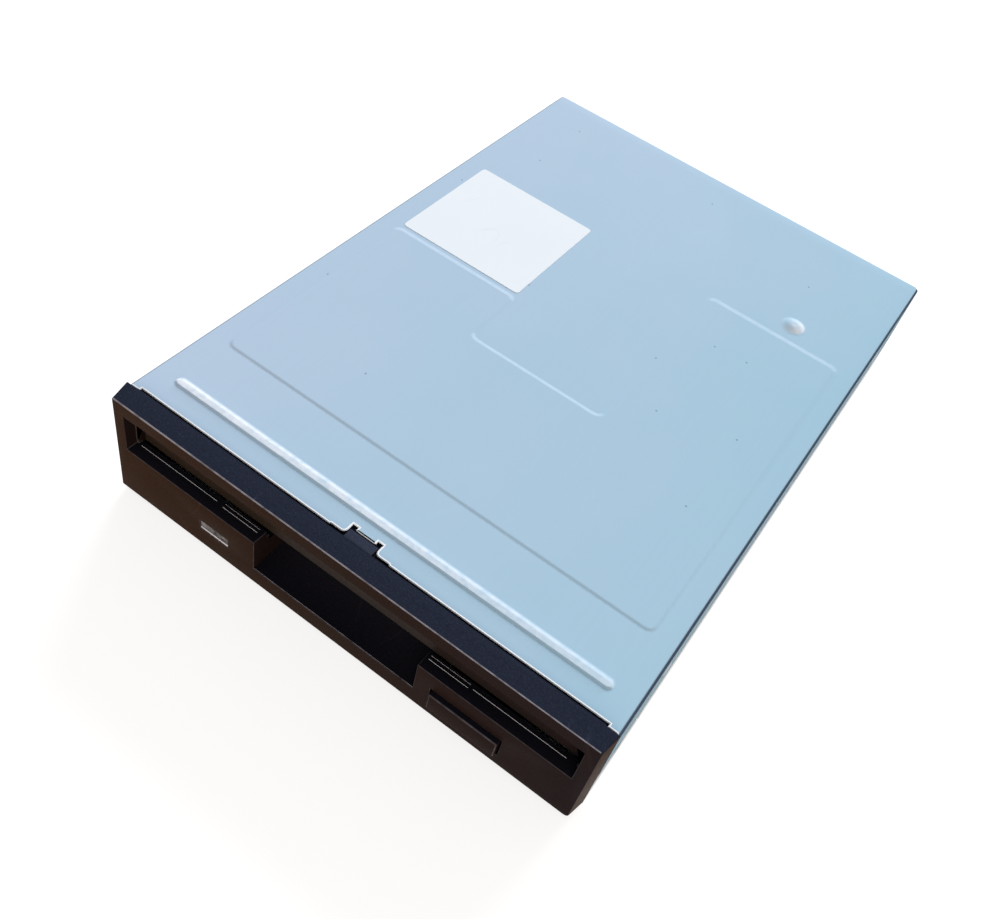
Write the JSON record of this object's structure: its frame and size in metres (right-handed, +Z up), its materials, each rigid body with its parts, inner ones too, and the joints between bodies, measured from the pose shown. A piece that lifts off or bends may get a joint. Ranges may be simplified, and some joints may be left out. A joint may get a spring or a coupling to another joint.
{
  "type": "floppy disk drive",
  "caption": "Slim internal drive for 90 mm floppy disks: sheet-metal chassis and lid, black bezel with slot door and eject button, spindle motor, head carriage and rear connectors.",
  "frame": {"origin": "centre of the footprint, from the front of the eject button to the rear edge, on the base plane", "axes": "+X to the right seen from the front, +Y from the bezel to the rear connectors, +Z up"},
  "size_m": [0.1016, 0.1468, 0.0254],
  "materials": {
    "cover_steel": "galvanised, satin",
    "chassis_steel": "galvanised, satin",
    "label_paper": "matt sticker",
    "bezel_plastic": "fine texture",
    "door_plastic": "satin",
    "lens_plastic": "clear, smoky",
    "lamp_plastic": "clear",
    "mechanism_steel": "plated",
    "bright_steel": "polished",
    "spring_steel": "drawn wire",
    "lever_plastic": "moulded",
    "ferrite": "matt",
    "bearing_bronze": "sintered",
    "core_steel": "laminated",
    "copper_wire": "enamelled",
    "chip_black": "moulded",
    "board_green": "lacquered",
    "carriage_metal": "cast",
    "head_ceramic": "lapped",
    "connector_black": "moulded",
    "connector_white": "moulded",
    "contact_gold": "plated",
    "contact_tin": "plated",
    "cable_film": "smooth film"
  },
  "bodies": {
    "chassis": {"chassis": "chassis_steel", "top_cover": "cover_steel", "blank_label": "label_paper", "front_bezel": "bezel_plastic", "door_spring": "spring_steel", "lamp_lens": "lens_plastic", "activity_lamp": "lamp_plastic", "guide_studs": "bright_steel", "eject_springs": "spring_steel", "spindle_bearing": "bearing_bronze", "stator_core": "core_steel", "stator_coils": "copper_wire", "index_sensor": "chip_black", "motor_board": "board_green", "main_rod": "bright_steel", "side_rod": "bright_steel", "rod_posts": "carriage_metal", "screw_bearing": "bearing_bronze", "stepper_motor": "mechanism_steel", "stepper_bracket": "mechanism_steel", "track_sensor": "chip_black", "main_board": "board_green", "controller_chip": "chip_black", "driver_chip": "chip_black", "signal_connector": "connector_black", "signal_pins": "contact_gold", "power_connector": "connector_white", "power_pins": "contact_tin", "cable_connectors": "connector_white", "flat_cable": "cable_film", "board_screws": "bright_steel", "switch_bodies": "chip_black"},
    "slot_door": {"slot_door": "door_plastic"},
    "eject_slide": {"slide_plate": "mechanism_steel", "eject_button": "bezel_plastic"},
    "disk_holder": {"disk_holder": "mechanism_steel", "holder_pins": "bright_steel", "lever_pivot": "bright_steel"},
    "latch_lever": {"latch_lever": "lever_plastic"},
    "spindle": {"spindle_rotor": "mechanism_steel", "rotor_magnet": "ferrite", "spindle_hub": "mechanism_steel", "spindle_shaft": "bright_steel", "drive_pin": "lever_plastic"},
    "carriage": {"head_carriage": "carriage_metal", "lower_head": "head_ceramic", "arm_pin": "bright_steel"},
    "head_arm": {"head_arm": "carriage_metal", "upper_head": "head_ceramic"},
    "lead_screw": {"lead_screw": "bright_steel"},
    "protect_plunger": {"protect_plunger": "lever_plastic"},
    "density_plunger": {"density_plunger": "lever_plastic"},
    "disk_plunger": {"disk_plunger": "lever_plastic"}
  },
  "joints": [
    {"name": "slot_door_swing", "type": "hinge", "parent": "chassis", "child": "slot_door", "pos_m": [0, -0.06815, 0.0194], "axis": [1, 0, 0], "range_deg": [0, 85], "stiffness_Nm_per_rad": 0.0005},
    {"name": "eject_slide_travel", "type": "slide", "parent": "chassis", "child": "eject_slide", "axis": [0, -1, 0], "range_m": [0, 0.006], "deforming": ["eject_springs"]},
    {"name": "disk_holder_drop", "type": "slide", "parent": "chassis", "child": "disk_holder", "axis": [0, 0, -1], "range_m": [0, 0.0027]},
    {"name": "latch_lever_swing", "type": "hinge", "parent": "disk_holder", "child": "latch_lever", "pos_m": [0.036, 0.01945, 0.018], "axis": [0, 0, -1], "range_deg": [0, 75]},
    {"name": "spindle_spin", "type": "hinge", "parent": "chassis", "child": "spindle", "pos_m": [0, -0.01755, 0.005], "axis": [0, 0, 1], "continuous": true},
    {"name": "carriage_travel", "type": "slide", "parent": "chassis", "child": "carriage", "axis": [0, -1, 0], "range_m": [0, 0.0148]},
    {"name": "head_arm_drop", "type": "hinge", "parent": "carriage", "child": "head_arm", "pos_m": [0, 0.05045, 0.02], "axis": [1, 0, 0], "range_deg": [0, 9.47]},
    {"name": "lead_screw_spin", "type": "hinge", "parent": "chassis", "child": "lead_screw", "pos_m": [-0.02, 0.04, 0.0118], "axis": [0, 1, 0], "range_deg": [0, 1420]},
    {"name": "protect_plunger_press", "type": "slide", "parent": "chassis", "child": "protect_plunger", "axis": [0, 0, -1], "range_m": [0, 0.001], "stiffness_N_per_m": 100},
    {"name": "density_plunger_press", "type": "slide", "parent": "chassis", "child": "density_plunger", "axis": [0, 0, -1], "range_m": [0, 0.001], "stiffness_N_per_m": 100},
    {"name": "disk_plunger_press", "type": "slide", "parent": "chassis", "child": "disk_plunger", "axis": [0, 0, -1], "range_m": [0, 0.001], "stiffness_N_per_m": 100}
  ],
  "couplings": [
    {"joint": "disk_holder_drop", "follows": "eject_slide_travel", "ratio": 0.45},
    {"joint": "latch_lever_swing", "follows": "eject_slide_travel", "rad_per_m": 218.17},
    {"joint": "head_arm_drop", "follows": "eject_slide_travel", "rad_per_m": 27.547},
    {"joint": "lead_screw_spin", "follows": "carriage_travel", "rad_per_m": 1674.6}
  ]
}
